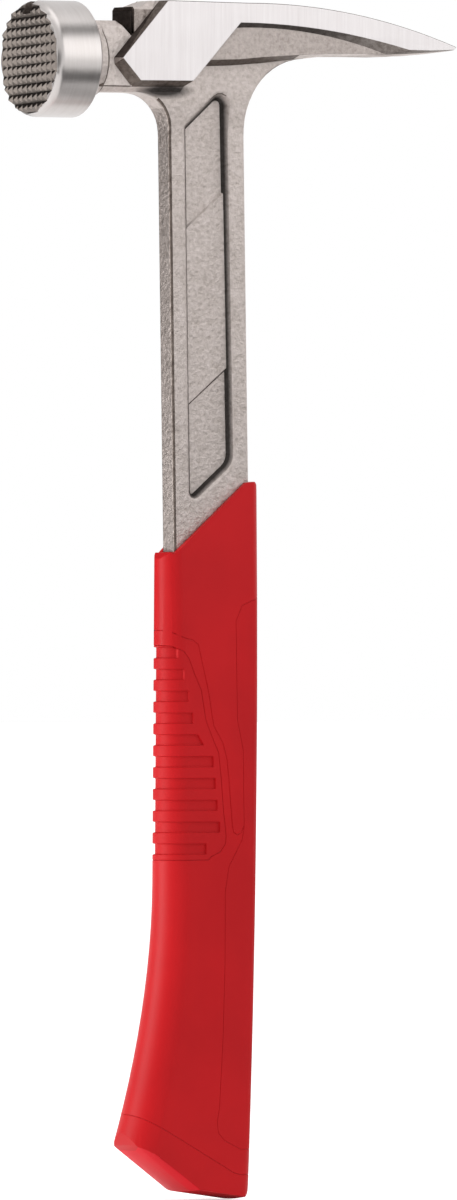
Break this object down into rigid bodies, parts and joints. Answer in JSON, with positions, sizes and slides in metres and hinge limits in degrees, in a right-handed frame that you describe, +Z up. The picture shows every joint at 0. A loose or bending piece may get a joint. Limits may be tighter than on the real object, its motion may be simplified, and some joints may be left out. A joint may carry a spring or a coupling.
{
  "type": "framing hammer",
  "caption": "Long one-piece forged framing hammer: milled round poll with magnetic nail start, straight rip claw, recessed flanged shank, moulded red grip with finger ribs.",
  "frame": {"origin": "on the shank axis, 10.2 mm under the poll axis, level with the underside of the neck, where the head rests in a hammer loop", "axes": "+Z up along the handle towards the head's top, -X towards the striking face, +X towards the claw tips, Y across the cheeks"},
  "size_m": [0.1538, 0.037, 0.3807],
  "materials": {
    "forged_steel": "blasted forging with ground cheeks, claw band and poll",
    "magnet": "dark sintered block",
    "sleeve": "moulded stiff nylon",
    "grip": "satin moulded red",
    "grip_soft": "soft satin red overmould"
  },
  "bodies": {
    "root": {"forged_body": "forged_steel", "nail_magnet": "magnet", "tang_sleeve": "sleeve", "grip_shell": "grip", "rib_inlay": "grip_soft", "spine_strip": "grip_soft", "butt_cap": "grip"}
  },
  "joints": []
}
